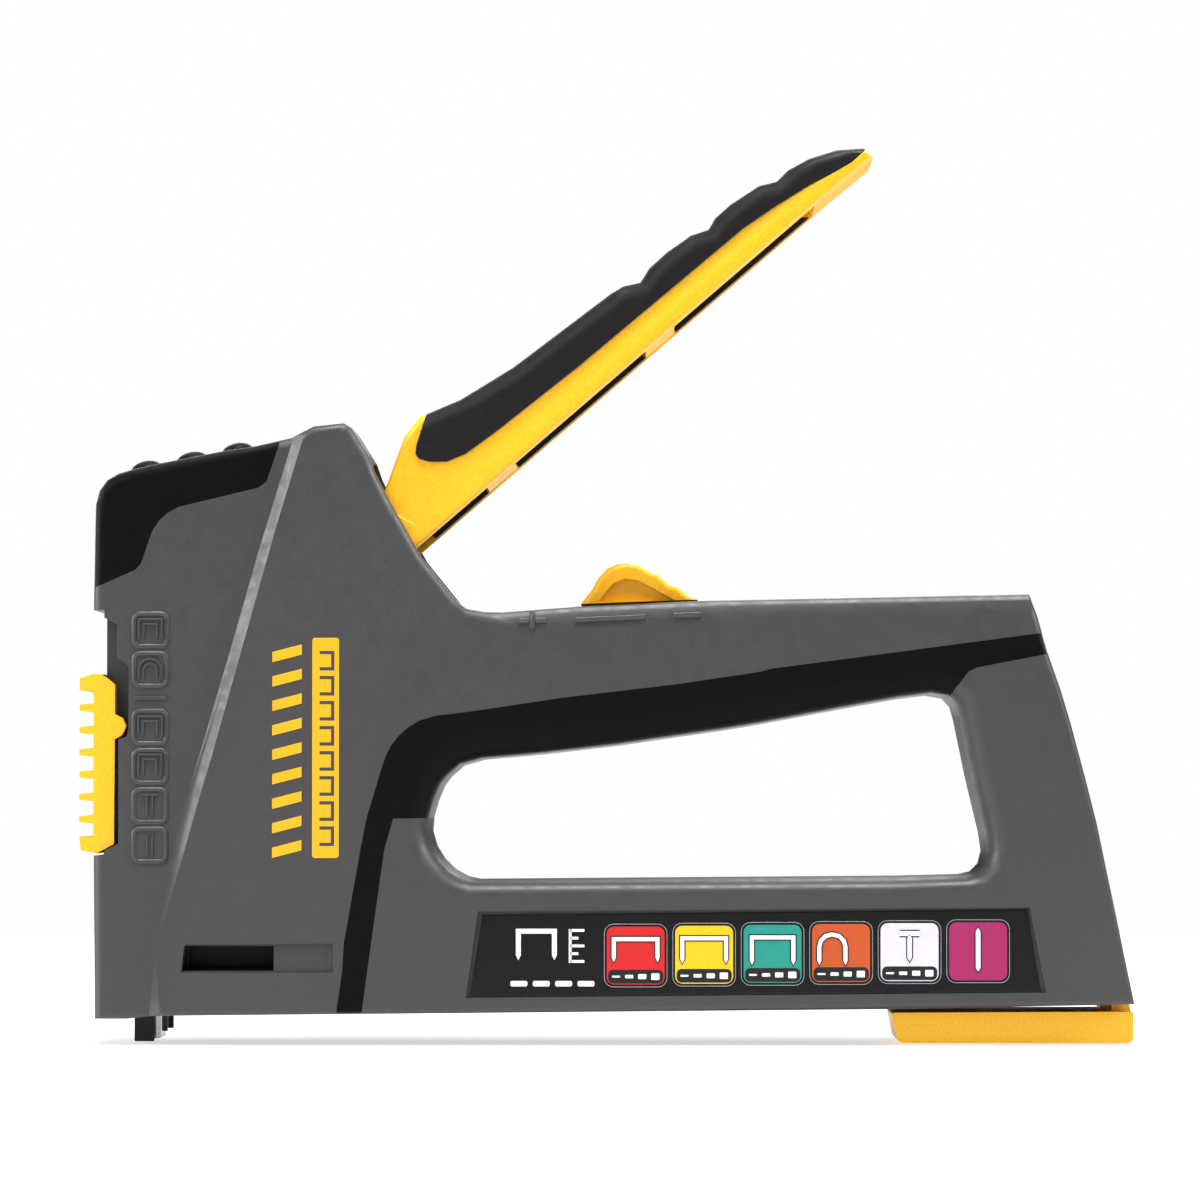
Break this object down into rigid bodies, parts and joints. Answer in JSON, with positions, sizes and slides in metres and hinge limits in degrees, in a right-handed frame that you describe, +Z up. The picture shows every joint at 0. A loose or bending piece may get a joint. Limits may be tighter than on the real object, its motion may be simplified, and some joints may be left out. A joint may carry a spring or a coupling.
{
  "type": "staple gun",
  "caption": "Hand-operated heavy-duty staple gun with squeeze lever, force adjuster, width selector and a magazine that pulls out at the rear.",
  "frame": {"origin": "centre of the footprint of the whole tool, on the plane that the nose tip and the magazine pull stand on", "axes": "+X from the nose to the rear along the magazine, +Y across the tool to its right side, +Z up towards the lever"},
  "size_m": [0.1938, 0.032, 0.1652],
  "materials": {
    "body_plastic": "satin, fine moulded grain",
    "soft_black": "matte",
    "yellow_plastic": "semi-gloss",
    "label_black": "gloss printed film",
    "black_steel": "blackened, satin",
    "bright_steel": "brushed",
    "zinc_steel": "zinc plated",
    "spring_steel": "drawn wire",
    "buffer_rubber": "matte"
  },
  "bodies": {
    "root": {"left_shell": "body_plastic", "right_shell": "body_plastic", "left_grip_inlay": "soft_black", "right_grip_inlay": "soft_black", "left_nose_pad": "soft_black", "right_nose_pad": "soft_black", "left_label_plate": "label_black", "right_label_plate": "label_black", "body_screws": "zinc_steel", "nose_plate": "black_steel", "magazine_channel": "black_steel", "lever_pin": "bright_steel", "arm_pin": "bright_steel", "return_spring": "spring_steel", "hammer_bumper": "buffer_rubber", "main_spring": "spring_steel"},
    "lever": {"lever_shell": "yellow_plastic", "lever_grip": "soft_black", "lever_core": "black_steel", "lift_roller": "bright_steel"},
    "rocker": {"impact_arm": "bright_steel", "spring_cup": "bright_steel"},
    "hammer": {"hammer_block": "black_steel", "driver_blade": "bright_steel"},
    "adjuster": {"adjuster_knob": "yellow_plastic", "adjuster_seat": "black_steel"},
    "selector": {"selector_slide": "yellow_plastic", "selector_gate": "bright_steel"},
    "magazine": {"feed_rail": "black_steel", "magazine_pull": "yellow_plastic", "rail_rod": "bright_steel", "pusher_spring": "spring_steel"},
    "pusher": {"pusher": "black_steel"}
  },
  "joints": [
    {"name": "lever_hinge", "type": "hinge", "parent": "root", "child": "lever", "pos_m": [-0.0489, 0, 0.092], "axis": [0, 1, 0], "range_deg": [0, 36], "stiffness_Nm_per_rad": 0.6, "springref_deg": -20.05, "deforming": ["main_spring"]},
    {"name": "rocker_hinge", "type": "hinge", "parent": "root", "child": "rocker", "pos_m": [-0.04, 0, 0.066], "axis": [0, 1, 0], "range_deg": [0, 21]},
    {"name": "hammer_slide", "type": "slide", "parent": "root", "child": "hammer", "axis": [0, 0, 1], "range_m": [0, 0.0165]},
    {"name": "adjuster_slide", "type": "slide", "parent": "root", "child": "adjuster", "axis": [1, 0, 0], "range_m": [-0.0085, 0.0095], "deforming": ["main_spring"]},
    {"name": "selector_slide", "type": "slide", "parent": "root", "child": "selector", "axis": [0, 0, 1], "range_m": [0, 0.009]},
    {"name": "magazine_slide", "type": "slide", "parent": "root", "child": "magazine", "axis": [1, 0, 0], "range_m": [0, 0.085]},
    {"name": "pusher_slide", "type": "slide", "parent": "magazine", "child": "pusher", "axis": [1, 0, 0], "range_m": [0, 0.1], "stiffness_N_per_m": 20, "springref_m": -0.03, "deforming": ["pusher_spring"]}
  ],
  "couplings": [
    {"joint": "rocker_hinge", "follows": "lever_hinge", "ratio": 0.5676},
    {"joint": "hammer_slide", "follows": "lever_hinge", "m_per_rad": 0.02535}
  ]
}
